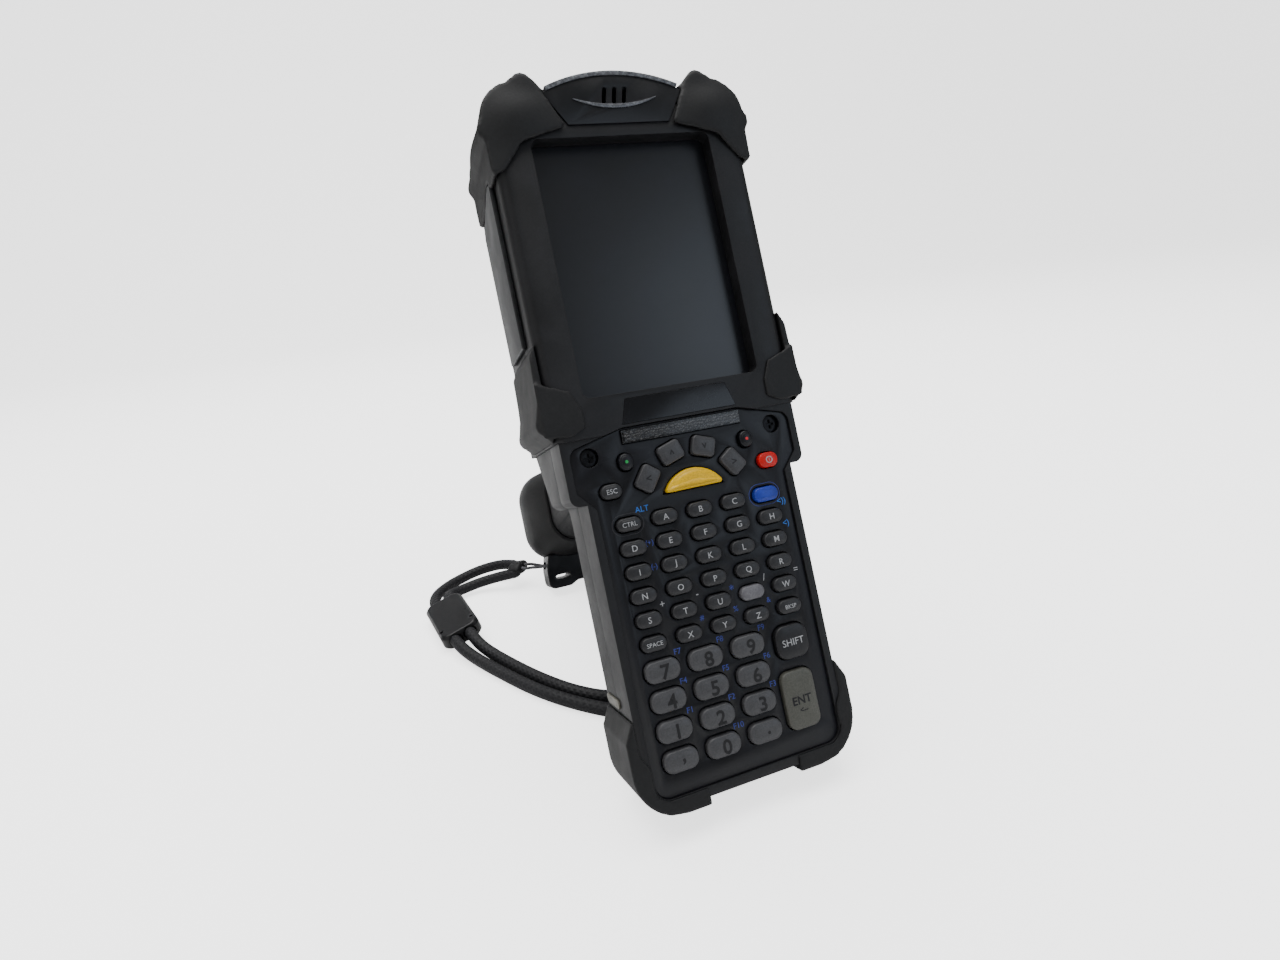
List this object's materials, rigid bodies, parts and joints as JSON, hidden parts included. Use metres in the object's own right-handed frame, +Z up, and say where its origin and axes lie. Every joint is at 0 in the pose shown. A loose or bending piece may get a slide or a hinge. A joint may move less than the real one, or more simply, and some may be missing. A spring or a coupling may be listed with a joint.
{
  "type": "rugged pistol-grip data collector",
  "caption": "Rugged handheld data collector with display, full keypad, pistol grip with trigger and slide-out battery, and wrist strap, standing on its tail and grip.",
  "frame": {"origin": "on the table, under the middle of the box round the standing device without its strap", "axes": "+Z up from the table, -Y towards the viewer of the display, +X to the right of the display"},
  "size_m": [0.1335, 0.2283, 0.2288],
  "materials": {
    "housing": "fine moulded texture, charcoal black",
    "keypad_face": "satin, blue-black",
    "silicone": "matte",
    "circuit_board": "solder mask green",
    "display_glass": "polished, dark panel behind it",
    "gasket": "matte foam",
    "display_frame": "pressed sheet",
    "boot_rubber": "moulded elastomer, fine texture",
    "cap_plastic": "satin",
    "trim_silver": "silver-grey paint on plastic",
    "scan_glass": "red-tinted, polished",
    "clear_bar": "clear, ribbed inside",
    "nameplate": "plain dark label, left blank",
    "side_panel": "smooth satin, dark grey",
    "side_plate": "beige-grey",
    "connector": "moulded",
    "steel": "zinc plated",
    "grip_plastic": "moulded texture",
    "trigger_plastic": "satin",
    "battery_plastic": "moulded",
    "bracket_plastic": "satin nylon",
    "string": "fine braided nylon",
    "cord": "braided nylon",
    "key_yellow": "hard-coated, yellow",
    "key_red": "hard-coated, red",
    "key_blue": "hard-coated, blue",
    "key_dark": "hard-coated, dark grey",
    "key_grey": "hard-coated, mid grey",
    "key_enter": "hard-coated, warm grey"
  },
  "bodies": {
    "device": {"front_housing": "housing", "rear_housing": "housing", "keypad_housing": "keypad_face", "keypad_membrane": "silicone", "circuit_boards": "circuit_board", "display_glass": "display_glass", "display_gasket": "gasket", "lcd_module": "display_frame", "top_boot_left": "boot_rubber", "top_boot_right": "boot_rubber", "shoulder_boot_left": "boot_rubber", "shoulder_boot_right": "boot_rubber", "tail_boot_left": "boot_rubber", "tail_boot_right": "boot_rubber", "top_cap": "cap_plastic", "cap_trim": "trim_silver", "speaker": "cap_plastic", "scan_window": "scan_glass", "scan_engine": "display_frame", "light_bar": "clear_bar", "nameplate": "nameplate", "side_panels": "side_panel", "side_plates": "side_plate", "io_connector": "connector", "screws": "steel", "grip_left": "grip_plastic", "grip_right": "grip_plastic", "trigger_pin": "steel", "trigger_spring": "steel", "trigger_switch": "connector", "base_boot": "boot_rubber", "strap_anchor": "bracket_plastic", "strap_string": "string", "strap_loop": "cord", "strap_slider": "bracket_plastic"},
    "trigger": {"trigger": "trigger_plastic"},
    "battery": {"battery_pack": "battery_plastic"},
    "latch": {"battery_latch": "grip_plastic"},
    "scan_key": {"scan_key": "key_yellow"},
    "power_key": {"power_key": "key_red"},
    "function_key": {"function_key": "key_blue"},
    "esc_key": {"esc_key": "key_dark"},
    "ctrl_key": {"ctrl_key": "key_dark"},
    "arrow_left_key": {"arrow_left_key": "key_grey"},
    "arrow_up_key": {"arrow_up_key": "key_grey"},
    "arrow_down_key": {"arrow_down_key": "key_grey"},
    "arrow_right_key": {"arrow_right_key": "key_grey"},
    "dot_keys": {"dot_keys": "key_dark"},
    "shift_key": {"shift_key": "key_dark"},
    "enter_key": {"enter_key": "key_enter"},
    "letter_row_1": {"letter_row_1": "key_dark"},
    "letter_row_2": {"letter_row_2": "key_dark"},
    "letter_row_3": {"letter_row_3": "key_dark"},
    "letter_row_4": {"letter_row_4": "key_dark"},
    "letter_row_5": {"letter_row_5": "key_dark"},
    "letter_row_6": {"letter_row_6": "key_dark"},
    "digit_row_1": {"digit_row_1": "key_grey"},
    "digit_row_2": {"digit_row_2": "key_grey"},
    "digit_row_3": {"digit_row_3": "key_grey"},
    "digit_row_4": {"digit_row_4": "key_grey"}
  },
  "joints": [
    {"name": "scan_key_press", "type": "slide", "parent": "device", "child": "scan_key", "axis": [0, 0.9397, -0.342], "range_m": [0, 0.0008], "stiffness_N_per_m": 900},
    {"name": "power_key_press", "type": "slide", "parent": "device", "child": "power_key", "axis": [0, 0.9397, -0.342], "range_m": [0, 0.0008], "stiffness_N_per_m": 700},
    {"name": "function_key_press", "type": "slide", "parent": "device", "child": "function_key", "axis": [0, 0.9397, -0.342], "range_m": [0, 0.0008], "stiffness_N_per_m": 700},
    {"name": "esc_key_press", "type": "slide", "parent": "device", "child": "esc_key", "axis": [0, 0.9397, -0.342], "range_m": [0, 0.0008], "stiffness_N_per_m": 700},
    {"name": "ctrl_key_press", "type": "slide", "parent": "device", "child": "ctrl_key", "axis": [0, 0.9397, -0.342], "range_m": [0, 0.0008], "stiffness_N_per_m": 700},
    {"name": "arrow_left_key_press", "type": "slide", "parent": "device", "child": "arrow_left_key", "axis": [0, 0.9397, -0.342], "range_m": [0, 0.0008], "stiffness_N_per_m": 700},
    {"name": "arrow_up_key_press", "type": "slide", "parent": "device", "child": "arrow_up_key", "axis": [0, 0.9397, -0.342], "range_m": [0, 0.0008], "stiffness_N_per_m": 700},
    {"name": "arrow_down_key_press", "type": "slide", "parent": "device", "child": "arrow_down_key", "axis": [0, 0.9397, -0.342], "range_m": [0, 0.0008], "stiffness_N_per_m": 700},
    {"name": "arrow_right_key_press", "type": "slide", "parent": "device", "child": "arrow_right_key", "axis": [0, 0.9397, -0.342], "range_m": [0, 0.0008], "stiffness_N_per_m": 700},
    {"name": "dot_keys_press", "type": "slide", "parent": "device", "child": "dot_keys", "axis": [0, 0.9397, -0.342], "range_m": [0, 0.0008], "stiffness_N_per_m": 700},
    {"name": "shift_key_press", "type": "slide", "parent": "device", "child": "shift_key", "axis": [0, 0.9397, -0.342], "range_m": [0, 0.0008], "stiffness_N_per_m": 800},
    {"name": "enter_key_press", "type": "slide", "parent": "device", "child": "enter_key", "axis": [0, 0.9397, -0.342], "range_m": [0, 0.0008], "stiffness_N_per_m": 900},
    {"name": "letter_row_1_press", "type": "slide", "parent": "device", "child": "letter_row_1", "axis": [0, 0.9397, -0.342], "range_m": [0, 0.0008], "stiffness_N_per_m": 1600},
    {"name": "letter_row_2_press", "type": "slide", "parent": "device", "child": "letter_row_2", "axis": [0, 0.9397, -0.342], "range_m": [0, 0.0008], "stiffness_N_per_m": 1600},
    {"name": "letter_row_3_press", "type": "slide", "parent": "device", "child": "letter_row_3", "axis": [0, 0.9397, -0.342], "range_m": [0, 0.0008], "stiffness_N_per_m": 1600},
    {"name": "letter_row_4_press", "type": "slide", "parent": "device", "child": "letter_row_4", "axis": [0, 0.9397, -0.342], "range_m": [0, 0.0008], "stiffness_N_per_m": 1600},
    {"name": "letter_row_5_press", "type": "slide", "parent": "device", "child": "letter_row_5", "axis": [0, 0.9397, -0.342], "range_m": [0, 0.0008], "stiffness_N_per_m": 1600},
    {"name": "letter_row_6_press", "type": "slide", "parent": "device", "child": "letter_row_6", "axis": [0, 0.9397, -0.342], "range_m": [0, 0.0008], "stiffness_N_per_m": 1600},
    {"name": "digit_row_1_press", "type": "slide", "parent": "device", "child": "digit_row_1", "axis": [0, 0.9397, -0.342], "range_m": [0, 0.0008], "stiffness_N_per_m": 1600},
    {"name": "digit_row_2_press", "type": "slide", "parent": "device", "child": "digit_row_2", "axis": [0, 0.9397, -0.342], "range_m": [0, 0.0008], "stiffness_N_per_m": 1600},
    {"name": "digit_row_3_press", "type": "slide", "parent": "device", "child": "digit_row_3", "axis": [0, 0.9397, -0.342], "range_m": [0, 0.0008], "stiffness_N_per_m": 1600},
    {"name": "digit_row_4_press", "type": "slide", "parent": "device", "child": "digit_row_4", "axis": [0, 0.9397, -0.342], "range_m": [0, 0.0008], "stiffness_N_per_m": 1600},
    {"name": "trigger_pull", "type": "hinge", "parent": "device", "child": "trigger", "pos_m": [0, -0.0134, 0.11966], "axis": [-1, 0, 0], "range_deg": [0, 7], "stiffness_Nm_per_rad": 0.8},
    {"name": "battery_slide", "type": "slide", "parent": "device", "child": "battery", "axis": [0, 0.8526, -0.5225], "range_m": [0, 0.11]},
    {"name": "latch_press", "type": "slide", "parent": "device", "child": "latch", "axis": [0, -0.342, -0.9397], "range_m": [0, 0.0012], "stiffness_N_per_m": 1500}
  ]
}
